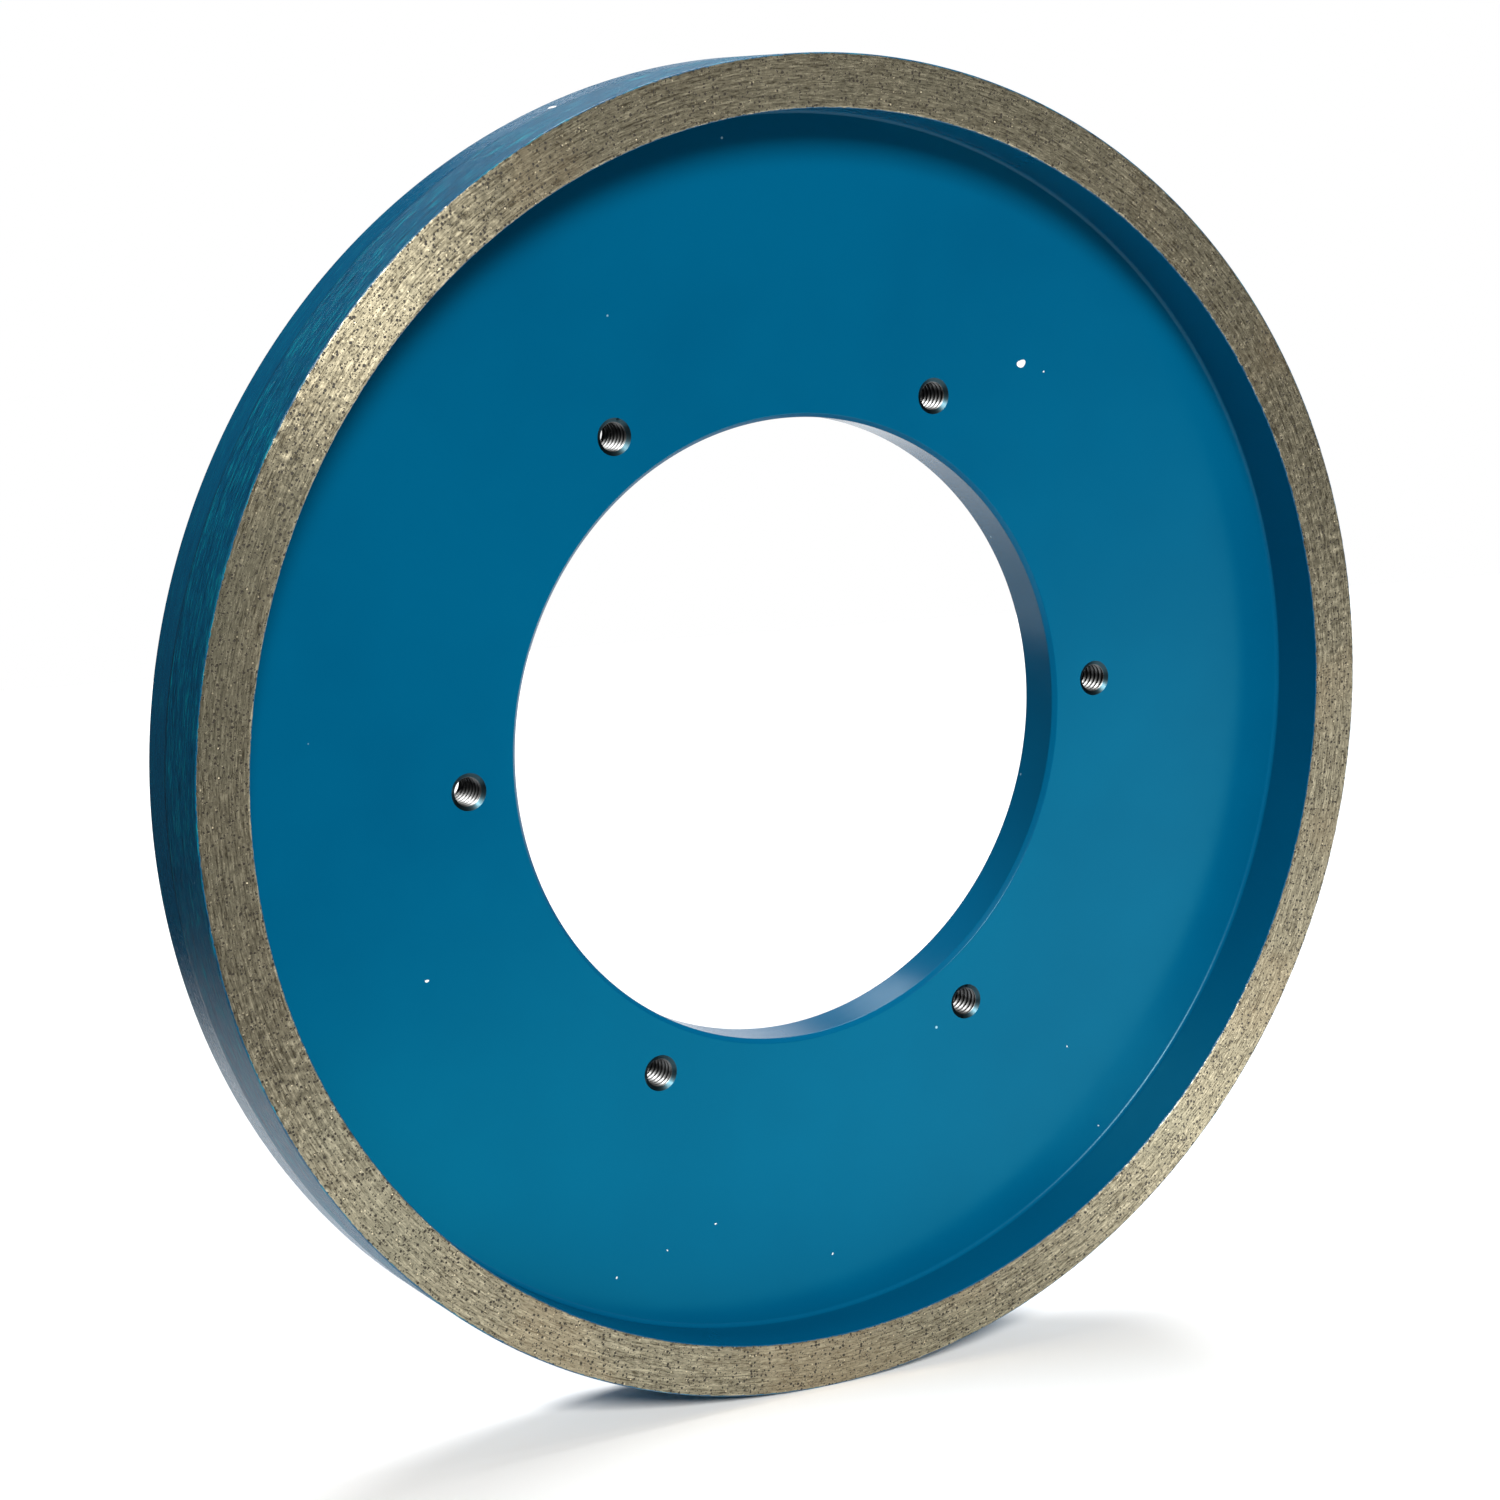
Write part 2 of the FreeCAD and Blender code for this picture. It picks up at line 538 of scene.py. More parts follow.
def times(tree, first, second):
    """One value times another."""
    return math_node(tree, "MULTIPLY", first, second)


def times_plus(tree, first, second, third):
    """One value times another, plus a third."""
    return math_node(tree, "MULTIPLY_ADD", first, second, third)


def soft_step(tree, value, low, high):
    """0 below low, 1 above high, and a smooth rise between; low may be above high."""
    node = tree.nodes.new("ShaderNodeMapRange")
    node.interpolation_type = "SMOOTHSTEP"
    feed(tree, node.inputs["Value"], value)
    first, last, start, end = (low, high, 0.0, 1.0) if low < high else (high, low, 1.0, 0.0)
    node.inputs["From Min"].default_value = first
    node.inputs["From Max"].default_value = last
    node.inputs["To Min"].default_value = start
    node.inputs["To Max"].default_value = end
    return node.outputs["Result"]

# %% [markdown]
# ## Textures, colours and bumps
# Noise gives clouds, streaks and grain. A Voronoi texture scatters cells, each with its own
# random number, which makes pits and painted glints of uneven size. Colours are laid over
# each other with Mix nodes, and Bump nodes are stacked, fine marks over coarse ones.

# %% Helpers for textures, colours and bumps
def noise(tree, vector, scale, detail=4.0, roughness=0.6):
    """One Noise texture's value."""
    node = tree.nodes.new("ShaderNodeTexNoise")
    feed(tree, node.inputs["Vector"], vector)
    node.inputs["Scale"].default_value = scale
    node.inputs["Detail"].default_value = detail
    node.inputs["Roughness"].default_value = roughness
    return node.outputs["Fac"]


def cells(tree, vector, scale):
    """Distance to the nearest cell point, and that cell's own random number."""
    node = tree.nodes.new("ShaderNodeTexVoronoi")
    feed(tree, node.inputs["Vector"], vector)
    node.inputs["Scale"].default_value = scale
    split = tree.nodes.new("ShaderNodeSeparateColor")
    tree.links.new(node.outputs["Color"], split.inputs["Color"])
    return node.outputs["Distance"], split.outputs["Red"]


def mix_colour(tree, factor, first, second):
    """One colour mixed over another."""
    node = tree.nodes.new("ShaderNodeMix")
    node.data_type = "RGBA"
    feed(tree, node.inputs["Factor"], factor)
    colour_sockets = [s for s in node.inputs if s.type == "RGBA"]
    for socket, value in zip(colour_sockets, (first, second)):
        feed(tree, socket, value)
    return [s for s in node.outputs if s.type == "RGBA"][0]


def bump(tree, height, distance, strength, below=None):
    """One Bump node, stacked on another if it is given."""
    node = tree.nodes.new("ShaderNodeBump")
    feed(tree, node.inputs["Height"], height)
    node.inputs["Distance"].default_value = distance
    node.inputs["Strength"].default_value = strength
    if below is not None:
        tree.links.new(below, node.inputs["Normal"])
    return node.outputs["Normal"]

# %% [markdown]
# ## Coordinates that follow the lathe
# Turned and ground surfaces carry marks that run around the axis. A noise read with the
# direction around the wheel scaled little, and the radius and the depth scaled a lot,
# gives exactly such marks, and because it uses x/r and z/r it closes without a seam.

# %% Helpers for lathe coordinates
def wheel_place(tree):
    """Object coordinates with the radius and the direction around the axis worked out."""
    coordinates = tree.nodes.new("ShaderNodeTexCoord").outputs["Object"]
    split = tree.nodes.new("ShaderNodeSeparateXYZ")
    tree.links.new(coordinates, split.inputs[0])
    x, y, z = split.outputs
    squares = math_node(tree, "ADD", times(tree, x, x), times(tree, z, z))
    radius = math_node(tree, "SQRT", squares)
    around_x = math_node(tree, "DIVIDE", x, radius)
    around_z = math_node(tree, "DIVIDE", z, radius)
    return {"point": coordinates, "x": x, "y": y, "z": z, "radius": radius,
            "around_x": around_x, "around_z": around_z}


def lathe_vector(tree, place, around, outwards, along):
    """A vector for noise whose marks run around the wheel."""
    node = tree.nodes.new("ShaderNodeCombineXYZ")
    spread = math_node(tree, "ADD", times(tree, place["radius"], outwards),
                       times(tree, place["y"], along))
    feed(tree, node.inputs[0], times(tree, place["around_x"], around))
    feed(tree, node.inputs[1], spread)
    feed(tree, node.inputs[2], times(tree, place["around_z"], around))
    return node.outputs[0]


# %% [markdown]
# ## Blue enamel over turned steel
# The body is sprayed with a thin blue enamel. On the web it lies smooth with a faint
# orange peel. Around the rim it follows the tool marks beneath: strong where it covers
# the ring and its backing, weaker on the steel. The marks change height, roughness and
# colour, because paint is thinner and paler on each little ridge. The mirror of the
# enamel is tinted blue by its socket, which keeps the colour deep where light falls on it.

# %% Enamel colours
ENAMEL = (0.0, 0.084, 0.182, 1)
ENAMEL_DEEP = (0.0, 0.074, 0.165, 1)
ENAMEL_THIN = (0.0, 0.24, 0.32, 1)
ENAMEL_THICK = (0.0, 0.035, 0.08, 1)
DUST = (0.30, 0.50, 0.60, 1)
WEB_MIRROR_TINT = (0.0, 0.9, 1.0, 1)
EDGE_MIRROR_TINT = (0.5, 0.9, 1.0, 1)
WEB_GLOSS = 0.38
EDGE_GLOSS = 0.2

# %% Marks under the enamel
FINE_MARKS = (38, 3300, 3300)
BROAD_MARKS = (12, 800, 800)
MARKS_ON_STEEL = 0.25
MARK_HEIGHT = 0.5 * MM
PEEL_HEIGHT = 0.02 * MM
CLOUD_SCALE = 14
DUST_SCALE = 60
SMEAR_SCALE = 260
PEEL_SCALE = 500


def tool_marks(tree, place):
    """The turning marks beneath the enamel, and how strongly they show at each place."""
    fine = noise(tree, lathe_vector(tree, place, *FINE_MARKS), 1, 4, 0.6)
    broad = noise(tree, lathe_vector(tree, place, *BROAD_MARKS), 1, 3, 0.6)
    streaks = times_plus(tree, fine, 0.65, times(tree, broad, 0.35))
    on_rim = soft_step(tree, place["radius"], rim_radius - 1.2 * MM, rim_radius - 0.6 * MM)
    over_ring = soft_step(tree, place["y"], seat_y + 0.6 * MM, seat_y - 0.4 * MM)
    share = times_plus(tree, over_ring, 1 - MARKS_ON_STEEL, MARKS_ON_STEEL)
    return streaks, times(tree, on_rim, share)


def enamel_nodes(tree, place):
    """Colour, roughness and normal of the enamel, for any material that needs it."""
    streaks, marked = tool_marks(tree, place)
    cloud = soft_step(tree, noise(tree, place["point"], CLOUD_SCALE, 3), 0.35, 0.7)
    base = mix_colour(tree, cloud, ENAMEL, ENAMEL_DEEP)
    thin = times(tree, soft_step(tree, streaks, 0.52, 0.62), marked)
    thick = times(tree, soft_step(tree, streaks, 0.48, 0.38), marked)
    base = mix_colour(tree, times(tree, thin, 0.8), base, ENAMEL_THIN)
    base = mix_colour(tree, times(tree, thick, 0.85), base, ENAMEL_THICK)
    distance, lot = cells(tree, place["point"], DUST_SCALE)
    dust = soft_step(tree, distance, 0.02, 0.012)
    base = mix_colour(tree, times(tree, dust, lot), base, DUST)
    marks = times(tree, streaks, marked)
    roughness = times_plus(tree, noise(tree, place["point"], SMEAR_SCALE, 4), 0.1, 0.18)
    roughness = times_plus(tree, marks, 0.35, roughness)
    peel = bump(tree, noise(tree, place["point"], PEEL_SCALE, 2, 0.5), PEEL_HEIGHT, 0.2)
    return base, roughness, bump(tree, marks, MARK_HEIGHT, 1.0, peel)


def set_enamel_gloss(shader, level, tint):
    """How strongly the enamel mirrors, and the tint of what it mirrors."""
    shader.inputs["Specular IOR Level"].default_value = level
    shader.inputs["Specular Tint"].default_value = tint


# %% Enamel of the edges
enamel, tree, shader = new_material("blue_enamel")
colour, roughness, normal = enamel_nodes(tree, wheel_place(tree))
feed(tree, shader.inputs["Base Color"], colour)
feed(tree, shader.inputs["Roughness"], roughness)
feed(tree, shader.inputs["Normal"], normal)
set_enamel_gloss(shader, EDGE_GLOSS, EDGE_MIRROR_TINT)
print(enamel.name, "has", len(tree.nodes), "nodes")

# %% [markdown]
# ## Worn paint around the holes
# The tap, the countersink and the screws have knocked paint off around the six mouths.
# To find them in a shader, the angle around the wheel is folded like a paper fan with a
# Ping-Pong node, so that all six holes lie on one; the law of cosines then gives the
# distance from the hole's axis. A noise decides where in that narrow band paint is gone.

# %% Distance from a hole


def distance_from_hole(tree, place):
    """Distance from the axis of the nearest fixing hole."""
    angle = math_node(tree, "ARCTAN2", place["z"], place["x"])
    from_first = math_node(tree, "SUBTRACT", angle, first_hole)
    folded = math_node(tree, "PINGPONG", from_first, math.pi / hole_count)
    twice = times(tree, place["radius"], 2 * hole_circle)
    across = times(tree, twice, math_node(tree, "COSINE", folded))
    squares = times_plus(tree, place["radius"], place["radius"], hole_circle ** 2)
    return math_node(tree, "SQRT", math_node(tree, "SUBTRACT", squares, across))


# %% Body enamel
BARE = (0.14, 0.145, 0.15, 1)
KNOCK_SCALE = 420
body_enamel, tree, shader = new_material("blue_enamel_body")
place = wheel_place(tree)
colour, roughness, normal = enamel_nodes(tree, place)
from_hole = distance_from_hole(tree, place)
mouth_band = soft_step(tree, from_hole, MOUTH_RADIUS + 0.3 * MM, MOUTH_RADIUS - 0.2 * MM)
knocks = noise(tree, place["point"], KNOCK_SCALE, 4, 0.65)
gone = soft_step(tree, times_plus(tree, mouth_band, 0.27, knocks), 0.84, 0.90)
feed(tree, shader.inputs["Base Color"], mix_colour(tree, gone, colour, BARE))
feed(tree, shader.inputs["Metallic"], times(tree, gone, 0.8))
feed(tree, shader.inputs["Roughness"], times_plus(tree, gone, 0.15, roughness))
feed(tree, shader.inputs["Normal"], normal)
set_enamel_gloss(shader, WEB_GLOSS, WEB_MIRROR_TINT)
print(body_enamel.name, "has", len(tree.nodes), "nodes")

# %% [markdown]
# ## Bronze bond with diamond grit
# Under a lens the ground face is a khaki bronze, mottled by powder grains, with dark pits
# where grains have torn out and pale diamond grains whose glints are painted into the
# colour as pale specks. Grinding leaves fine scratches around the ring. They stretch a
# reflection across themselves, so the light stands in two bright fans: the shader's
# anisotropy does that, with its tangent running around the axis and turned a quarter.

# %% Bond colours and pits
BOND_DARK = (0.10, 0.085, 0.055, 1)
BOND_MID = (0.305, 0.277, 0.194, 1)
BOND_PALE = (0.56, 0.505, 0.36, 1)
BOND_GREEN = (0.26, 0.26, 0.19, 1)
BOND_WARM = (0.40, 0.31, 0.19, 1)
PIT = (0.035, 0.03, 0.022, 1)
DIAMOND_GLINT = (0.78, 0.69, 0.48, 1)


def torn_pits(tree, place, scale, smallest, spread, edge):
    """Ragged pits: cells with a random reach, their outline broken by a finer noise."""
    distance, lot = cells(tree, place["point"], scale)
    ragged = times_plus(tree, noise(tree, place["point"], scale * 4, 3), 0.5, -0.25)
    reach = times_plus(tree, lot, spread, smallest)
    inside = math_node(tree, "SUBTRACT", reach, math_node(tree, "ADD", distance, ragged))
    return soft_step(tree, inside, 0.0, edge)


# %% Grain of the bond
GRAIN_SCALE = 1500
PATCH_SCALE = 20
LONG_SCRATCHES = (22, 2400, 0)
SHORT_SCRATCHES = (90, 3600, 0)
bond, tree, shader = new_material("diamond_bond")
place = wheel_place(tree)
mottle = noise(tree, place["point"], GRAIN_SCALE, 6, 0.75)
scratches = noise(tree, lathe_vector(tree, place, *LONG_SCRATCHES), 1, 4, 0.65)
short_marks = noise(tree, lathe_vector(tree, place, *SHORT_SCRATCHES), 1, 3, 0.6)
tone = times_plus(tree, short_marks, 0.35, times(tree, mottle, 0.2))
tone = times_plus(tree, scratches, 0.45, tone)
grain = mix_colour(tree, soft_step(tree, tone, 0.40, 0.50), BOND_DARK, BOND_MID)
grain = mix_colour(tree, soft_step(tree, tone, 0.50, 0.61), grain, BOND_PALE)
patches = noise(tree, place["point"], PATCH_SCALE, 3)
green = times(tree, soft_step(tree, patches, 0.52, 0.68), 0.3)
grain = mix_colour(tree, green, grain, BOND_GREEN)
warm = times(tree, soft_step(tree, patches, 0.46, 0.32), 0.3)
grain = mix_colour(tree, warm, grain, BOND_WARM)

# %% Pits and painted glints
LARGE_PITS = (1250, 0.12, 0.27, 0.05)
SMALL_PITS = (2300, 0.10, 0.3, 0.1)
small_pits = times(tree, torn_pits(tree, place, *SMALL_PITS), 0.85)
pits = math_node(tree, "MAXIMUM", torn_pits(tree, place, *LARGE_PITS), small_pits)
grain = mix_colour(tree, pits, grain, PIT)
# painted highlight: a few cells are coloured pale as glints where diamonds would catch the light
glint_distance, glint_lot = cells(tree, place["point"], GRAIN_SCALE)
few = soft_step(tree, glint_lot, 0.88, 0.96)
painted_glints = times(tree, soft_step(tree, glint_distance, 0.3, 0.15), few)
grain = mix_colour(tree, painted_glints, grain, DIAMOND_GLINT)

# %% [markdown]
# ## Paint at the ring's edges
# The sides of the ring are sprayed with the body, and grinding leaves a thin, ragged line
# of paint at both edges of its face. The enamel is mixed over the bond by radius, with a
# little noise in it. Painted spots and pits lose their metal and the bare bond keeps it.

# %% Paint over the bond
PAINT_CREEP = 0.5 * MM
GROUND_DEPTH = 0.1 * MM
enamel_colour = enamel_nodes(tree, place)[0]
creep = times_plus(tree, noise(tree, place["point"], 900, 3), PAINT_CREEP, -PAINT_CREEP / 2)
ragged_radius = math_node(tree, "ADD", place["radius"], creep)
outer_paint = soft_step(tree, ragged_radius, rim_radius - 0.3 * MM, rim_radius - 0.2 * MM)
inner_paint = soft_step(tree, ragged_radius, ring_inner + 0.22 * MM, ring_inner + 0.12 * MM)
painted = math_node(tree, "MAXIMUM", outer_paint, inner_paint)
feed(tree, shader.inputs["Base Color"], mix_colour(tree, painted, grain, enamel_colour))
bare = math_node(tree, "SUBTRACT", 1.0, painted)
clean = times(tree, bare, math_node(tree, "SUBTRACT", 1.0, pits))
feed(tree, shader.inputs["Metallic"], times(tree, clean, 0.85))

# %% Scratches in the ground face
bond_roughness = times_plus(tree, mottle, 0.2, 0.24)
bond_roughness = times_plus(tree, pits, 0.35, bond_roughness)
feed(tree, shader.inputs["Roughness"], bond_roughness)
shader.inputs["Anisotropic"].default_value = 0.92
shader.inputs["Anisotropic Rotation"].default_value = 0.25
tangent = tree.nodes.new("ShaderNodeTangent")
tangent.direction_type = "RADIAL"
tangent.axis = "Y"
feed(tree, shader.inputs["Tangent"], tangent.outputs[0])
height = times_plus(tree, scratches, 0.45, times(tree, short_marks, 0.4))
height = times_plus(tree, mottle, 0.15, height)
height = math_node(tree, "SUBTRACT", height, pits)
feed(tree, shader.inputs["Normal"], bump(tree, height, GROUND_DEPTH, 0.75))
print(bond.name, "has", len(tree.nodes), "nodes")

# %% [markdown]
# ## Cut steel, its roots painted dark
# The tap and the countersink cut through the paint, and their oil stays behind. The
# crests are wiped bright, the roots are painted near black as shade in the grooves, and
# the mouths keep a thin blue film of paint, so inside a hole the colour follows the
# distance from its axis.

# %% Thread steel
STEEL_CREST = (0.15, 0.155, 0.16, 1)
STEEL_ROOT_SHADE = (0.01, 0.01, 0.01, 1)
PAINTED_MOUTH = (0.03, 0.06, 0.075, 1)
STEEL_EDGE = (0.35, 0.35, 0.35, 1)
STAIN_SCALE = 700
CUT_SCALE = 6000
steel, tree, shader = new_material("cut_steel")
place = wheel_place(tree)
from_hole = distance_from_hole(tree, place)
# painted shade: the thread roots, away from the crests, are coloured near black
root_shade = soft_step(tree, from_hole, LIP_RADIUS + 0.08 * MM, hole_radius - 0.3 * MM)
inside = soft_step(tree, place["y"], web_y + MOUTH_DEPTH - 0.1 * MM, web_y + MOUTH_DEPTH)
thread_colour = mix_colour(tree, root_shade, STEEL_CREST, STEEL_ROOT_SHADE)
feed(tree, shader.inputs["Base Color"], mix_colour(tree, inside, PAINTED_MOUTH, thread_colour))
shader.inputs["Specular Tint"].default_value = STEEL_EDGE
shader.inputs["Metallic"].default_value = 1.0
stain = noise(tree, place["point"], STAIN_SCALE, 4)
feed(tree, shader.inputs["Roughness"], times_plus(tree, stain, 0.2, 0.26))
cut_marks = noise(tree, place["point"], CUT_SCALE, 3)
feed(tree, shader.inputs["Normal"], bump(tree, cut_marks, 0.01 * MM, 0.4))
print(steel.name, "has", len(tree.nodes), "nodes")

# %% [markdown]
# ## Putting the finishes on
# The body carries three finishes: the enamel with worn hole edges on its flat faces, cut
# steel inside the holes, and the plainer enamel on bore and rim, where nothing is knocked.
# A face's place decides which one it gets. The ring has the bond in front and enamel on
# its two sides, which are told by the way their faces look.

# %% Body finishes
CUT_STEEL = 1
PLAIN_ENAMEL = 2
for piece, finish in ((body, body_enamel), (backing, enamel), (braze, enamel)):
    piece.data.materials.clear()
    piece.data.materials.append(finish)
body.data.materials.append(steel)
body.data.materials.append(enamel)
hole_angles = [first_hole + number * math.tau / hole_count for number in range(hole_count)]
hole_axes = [
    Vector((hole_circle * math.cos(angle), 0, hole_circle * math.sin(angle)))
    for angle in hole_angles
]
for face in body.data.polygons:
    middle = Vector((face.center.x, 0, face.center.z))
    if not bore_radius + BORE_CHAMFER < axis_distance(middle) < rim_radius - RIM_CHAMFER:
        face.material_index = PLAIN_ENAMEL
    below_faces = web_y + NEAR < face.center.y < back_y - NEAR
    if below_faces and min((middle - axis).length for axis in hole_axes) < MOUTH_RADIUS:
        face.material_index = CUT_STEEL
steel_faces = sum(face.material_index == CUT_STEEL for face in body.data.polygons)
print("steel faces on the body:", steel_faces)

# %% Ring and thread finishes
SIDE_ENAMEL = 1
SIDEWAYS = 0.2
ring.data.materials.clear()
ring.data.materials.append(bond)
ring.data.materials.append(enamel)
for face in ring.data.polygons:
    if abs(face.normal.y) < SIDEWAYS:
        face.material_index = SIDE_ENAMEL
for thread in threads:
    thread.data.materials.clear()
    thread.data.materials.append(steel)
side_faces = sum(face.material_index == SIDE_ENAMEL for face in ring.data.polygons)
print("painted faces on the ring's sides:", side_faces)

# %% [markdown]
# ## Chips and specks in the paint
# Two knocks have taken paint off: a round one on the web and a long one on the rim. Some
# pale specks lie on the web as well. Each is a thin flake of pale primer that hugs the
# surface. It starts as a circle primitive whose outline is made gently uneven, and is
# extruded to a little height with a smaller top, so that its edge slopes.

# %% Primer
PRIMER = (0.86, 0.86, 0.84, 1)
PRIMER_GREY = (0.62, 0.66, 0.68, 1)
primer, tree, shader = new_material("pale_primer")
place = wheel_place(tree)
speckle = soft_step(tree, noise(tree, place["point"], 2200, 3), 0.35, 0.75)
feed(tree, shader.inputs["Base Color"], mix_colour(tree, speckle, PRIMER, PRIMER_GREY))
shader.inputs["Roughness"].default_value = 0.7
feed(tree, shader.inputs["Normal"], bump(tree, speckle, 0.02 * MM, 0.6))
print(primer.name, "has", len(tree.nodes), "nodes")

# %% Helpers for chips
CHIP_PROUD = 0.04 * MM
CHIP_TOP = 0.86
FLAT_ON_WEB = (math.pi / 2, 0, 0)


def add_chip(name, length, width, turn, location, facing, sides=24):
    """An uneven flake that lies on a surface; facing is the turn that lays it down."""
    start_alone()
    bpy.ops.mesh.primitive_circle_add(vertices=sides, radius=1, fill_type="NGON")
    piece = bpy.context.object
    piece.name = name
    for vertex in piece.data.vertices:
        around = math.atan2(vertex.co.y, vertex.co.x)
        oval = 0.1 * math.sin(2 * around + length / MM)
        vertex.co *= 1 + oval + 0.07 * math.sin(3 * around + turn)
    piece.scale = (length / 2, width / 2, 1)
    bpy.ops.object.transform_apply(location=False, rotation=False, scale=True)
    bpy.ops.object.mode_set(mode="EDIT")
    bpy.ops.mesh.select_all(action="SELECT")
    bpy.ops.mesh.extrude_region_move(TRANSFORM_OT_translate={"value": (0, 0, CHIP_PROUD)})
    bpy.ops.transform.resize(value=(CHIP_TOP, CHIP_TOP, 1))
    bpy.ops.mesh.select_all(action="SELECT")
    bpy.ops.mesh.normals_make_consistent(inside=False)
    bpy.ops.object.mode_set(mode="OBJECT")
    piece.rotation_euler = (0, 0, turn)
    bpy.ops.object.transform_apply(location=False, rotation=True, scale=False)
    piece.rotation_euler = facing
    piece.location = location
    bpy.ops.object.transform_apply(location=True, rotation=True, scale=True)
    bpy.ops.object.shade_smooth_by_angle(angle=math.radians(30))
    piece.data.materials.append(primer)
    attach(piece, "root")


def on_web(radius, degrees):
    """A place on the front of the web."""
    angle = math.radians(degrees)
    return radius * math.cos(angle), web_y, radius * math.sin(angle)


# %% Two chips
rim_angle = math.radians(113)
rim_spot = rim_radius - CHIP_PROUD / 2
add_chip("web_chip", 1.9 * MM, 1.6 * MM, 0.4, on_web(85.5 * MM, 53.5), FLAT_ON_WEB)
add_chip("rim_chip", 1.2 * MM, 2.6 * MM, 0.2,
         (rim_spot * math.cos(rim_angle), seat_y + 2.3 * MM, rim_spot * math.sin(rim_angle)),
         (0, math.pi / 2 - rim_angle, 0))
print("two chips, each", CHIP_PROUD / MM, "mm proud")

# %% [markdown]
# ## Specks on the web
# Dust and tiny knocks leave pale specks. Each row gives a speck's distance from the axis,
# its angle around the wheel in degrees and its size in millimetres.

# %% Specks
SPECKS = (
    (88, 206.5, 0.8), (109.5, 248.5, 0.5), (102.5, 253.5, 0.4), (96.5, 259, 0.5),
    (105.5, 274.5, 0.5), (95.5, 312.5, 0.4), (114.5, 309.5, 0.4), (87.5, 50, 0.4))
for number, (radius, degrees, size) in enumerate(SPECKS):
    add_chip(f"web_speck_{number + 1}", size * MM, 0.7 * size * MM, number,
             on_web(radius * MM, degrees), FLAT_ON_WEB, 10)
print("specks:", len(SPECKS))

# %% [markdown]
# ## Studio
# The wheel stands on a white table. A wide, even daylight comes from high behind and
# whitens the table. A low softbox and a high one behind the wheel give the bore and the top
# of the rim their pale edges. The key light is above the camera on the left, where it wakes
# the ring's two fans. The table ends to the left of the wheel and slants away in front, so
# the rim mirrors a dim room, and the web mirrors table only below and to the right.

# %% Table
TABLE_WHITE = (0.9, 0.9, 0.9, 1)
TABLE_GREY = (0.87, 0.87, 0.88, 1)
TABLE_CORNERS = ((-0.2, -0.06), (1.4, -1.5), (0.05, 0.95), (1.6, 0.95))
start_alone()
bpy.ops.mesh.primitive_plane_add(size=1)
floor = bpy.context.object
floor.name = "floor"
for vertex, (x, y) in zip(floor.data.vertices, TABLE_CORNERS):
    vertex.co = (x, y, cad_low.z)
floor_paint, tree, shader = new_material("white_table")
table_place = tree.nodes.new("ShaderNodeTexCoord").outputs["Object"]
shade = times(tree, noise(tree, table_place, 3, 2), 0.3)
feed(tree, shader.inputs["Base Color"], mix_colour(tree, shade, TABLE_WHITE, TABLE_GREY))
shader.inputs["Roughness"].default_value = 0.8
floor.data.materials.append(floor_paint)
print("table at z", round(cad_low.z / MM, 2), "mm")

# %% [markdown]
# ## The room
# The room is a plain white backdrop for the camera, and a dim glow for everything else.
# A Light Path node tells the three cases apart: what the camera sees, what a gloss
# mirrors, and the light that falls on the wheel from all around.

# %% Room
ROOM_GLOW = 0.11
ROOM_MIRRORED = 0.045
world = bpy.data.worlds.new("studio_room")
bpy.context.scene.world = world
world.use_nodes = True
room = world.node_tree
room.nodes.clear()
room_out = room.nodes.new("ShaderNodeOutputWorld")
backdrop = room.nodes.new("ShaderNodeBackground")
backdrop.inputs["Color"].default_value = (1, 1, 1, 1)
backdrop.inputs["Strength"].default_value = 1.0
glow = room.nodes.new("ShaderNodeBackground")
glow.inputs["Color"].default_value = (0.95, 0.97, 1, 1)
light_path = room.nodes.new("ShaderNodeLightPath")
glossy = light_path.outputs["Is Glossy Ray"]
dimmed = times_plus(room, glossy, ROOM_MIRRORED - ROOM_GLOW, ROOM_GLOW)
room.links.new(dimmed, glow.inputs["Strength"])
choose = room.nodes.new("ShaderNodeMixShader")
room.links.new(light_path.outputs["Is Camera Ray"], choose.inputs[0])
room.links.new(glow.outputs[0], choose.inputs[1])
room.links.new(backdrop.outputs[0], choose.inputs[2])
room.links.new(choose.outputs[0], room_out.inputs[0])
print(world.name, "has", len(room.nodes), "nodes")

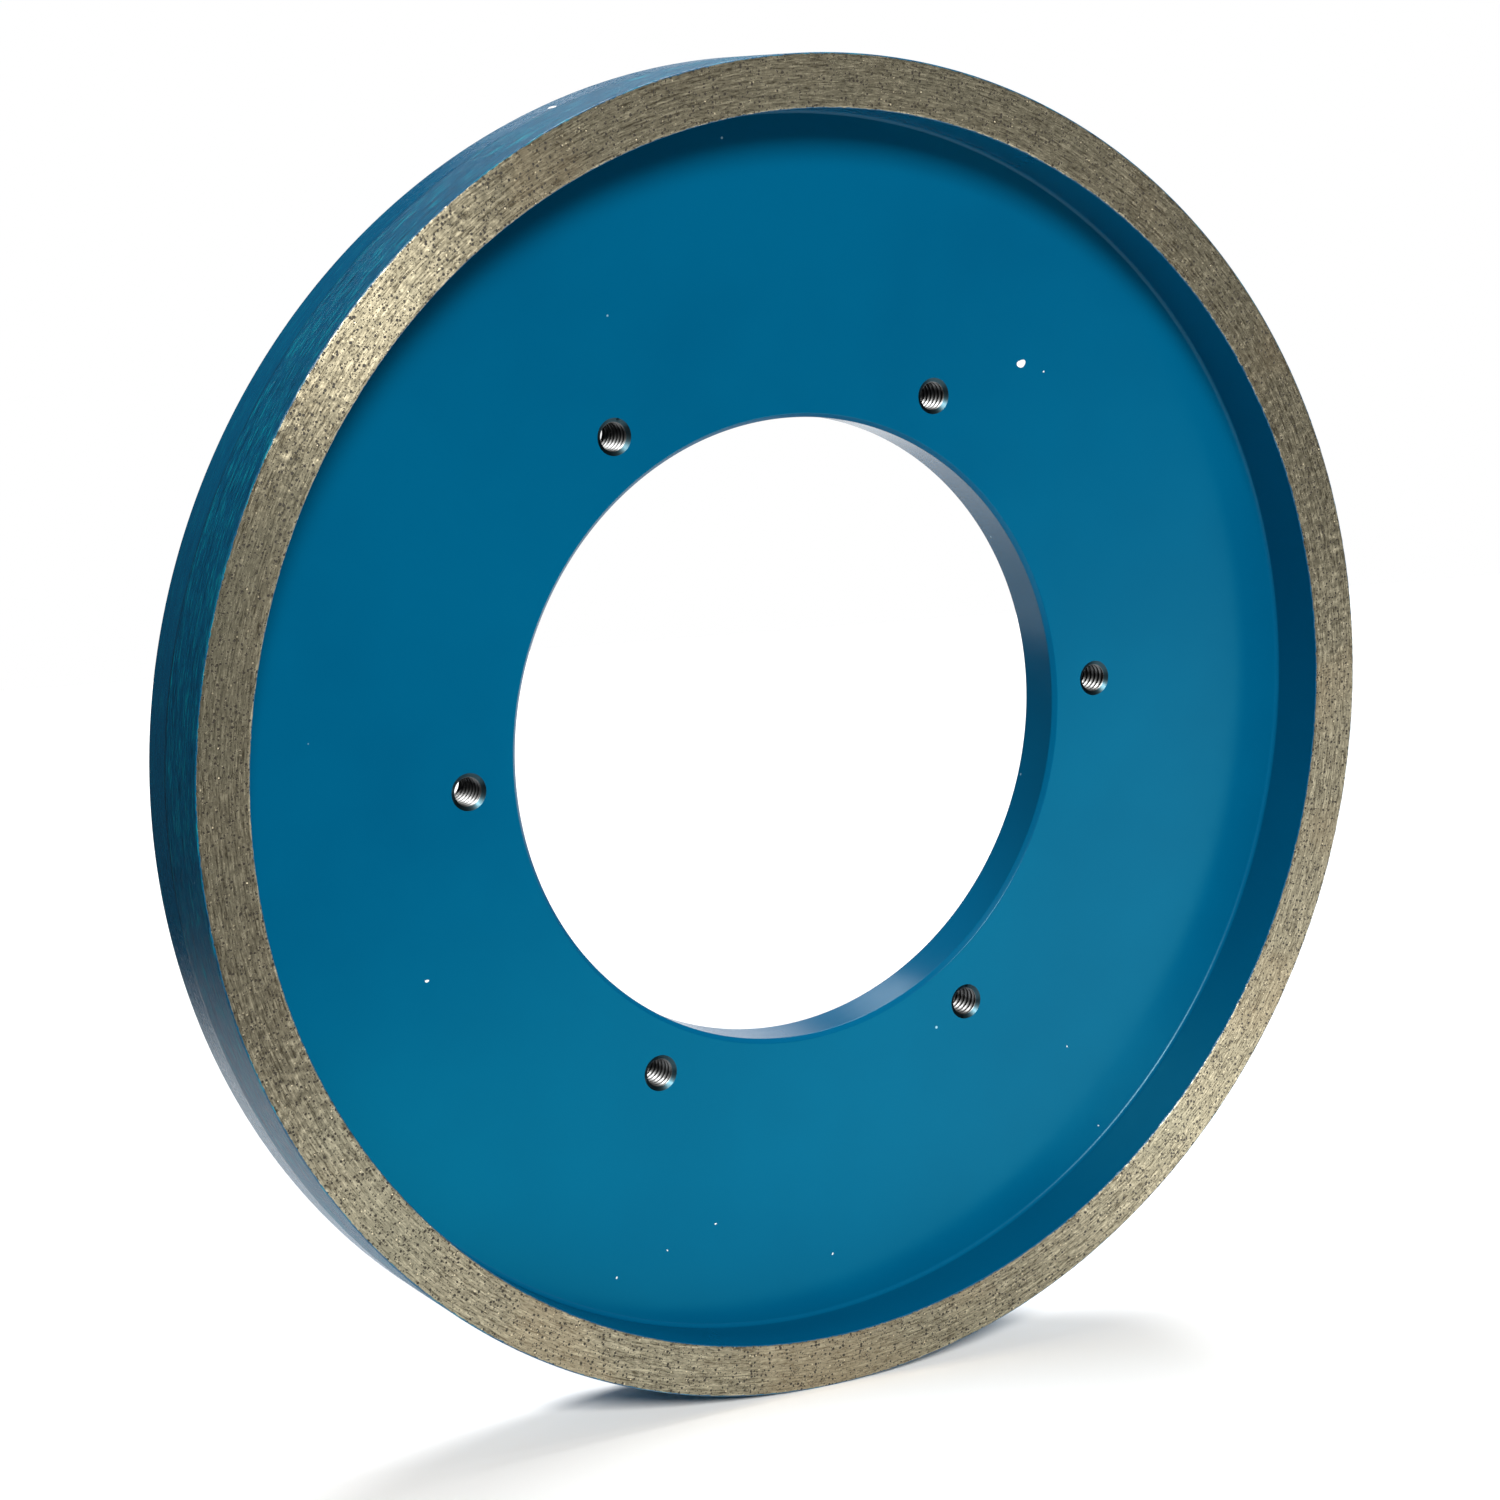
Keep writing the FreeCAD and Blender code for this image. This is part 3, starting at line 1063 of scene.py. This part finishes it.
# %% [markdown]
# ## Lights
# Soft light needs large lamps. Each softbox is a rectangle that looks at the wheel's
# centre, and the daylight is a sun with a very wide disc, so its shadow edges are soft.

# %% Softboxes
def add_softbox(name, place, width, height, watts, colour):
    """A rectangular area light that looks at the wheel's centre."""
    start_alone()
    bpy.ops.object.light_add(type="AREA", location=place)
    lamp = bpy.context.object
    lamp.name = name
    lamp.data.shape = "RECTANGLE"
    lamp.data.size = width
    lamp.data.size_y = height
    lamp.data.energy = watts
    lamp.data.color = colour
    lamp.rotation_euler = (-Vector(place)).to_track_quat("-Z", "Y").to_euler()
    print(name, "at", place, "with", watts, "W")


add_softbox("key_softbox", (-0.92, -3.14, 1.98), 1.32, 1.2, 204, (1.0, 0.97, 0.92))
add_softbox("low_back_softbox", (0.84, 1.24, 0.17), 0.4, 0.55, 0.85, (1.0, 1.0, 1.0))
add_softbox("high_back_softbox", (0.39, 1.28, 0.90), 0.4, 0.3, 1.5, (0.95, 0.98, 1.0))

# %% Daylight
start_alone()
bpy.ops.object.light_add(type="SUN", location=(0.2, 0.3, 0.93))
daylight = bpy.context.object
daylight.name = "daylight"
daylight.data.energy = 3.6
daylight.data.angle = math.radians(40)
daylight.data.color = (0.98, 0.99, 1.0)
daylight.rotation_euler = (-daylight.location).to_track_quat("-Z", "Y").to_euler()
print(daylight.name, "strength", round(daylight.data.energy, 2))

# %% [markdown]
# ## Camera
# The camera stands to the left and a little above the axis, close enough for the wheel to
# grow visibly towards its near side.

# %% Camera
CAMERA_PLACE = (-0.3307, -0.5405, 0.1034)
CAMERA_TILT = math.radians(80.44)
CAMERA_PAN = math.radians(-30.57)
CAMERA_LENS = 80.7
start_alone()
bpy.ops.object.camera_add(location=CAMERA_PLACE, rotation=(CAMERA_TILT, 0, CAMERA_PAN))
camera = bpy.context.object
camera.data.sensor_width = 36
camera.data.lens = CAMERA_LENS
camera.data.clip_start = 0.01
camera.data.clip_end = 50
bpy.context.scene.camera = camera
bpy.context.scene.view_settings.view_transform = "Standard"
print("camera", round(Vector(CAMERA_PLACE).length, 3), "m from the wheel's centre")
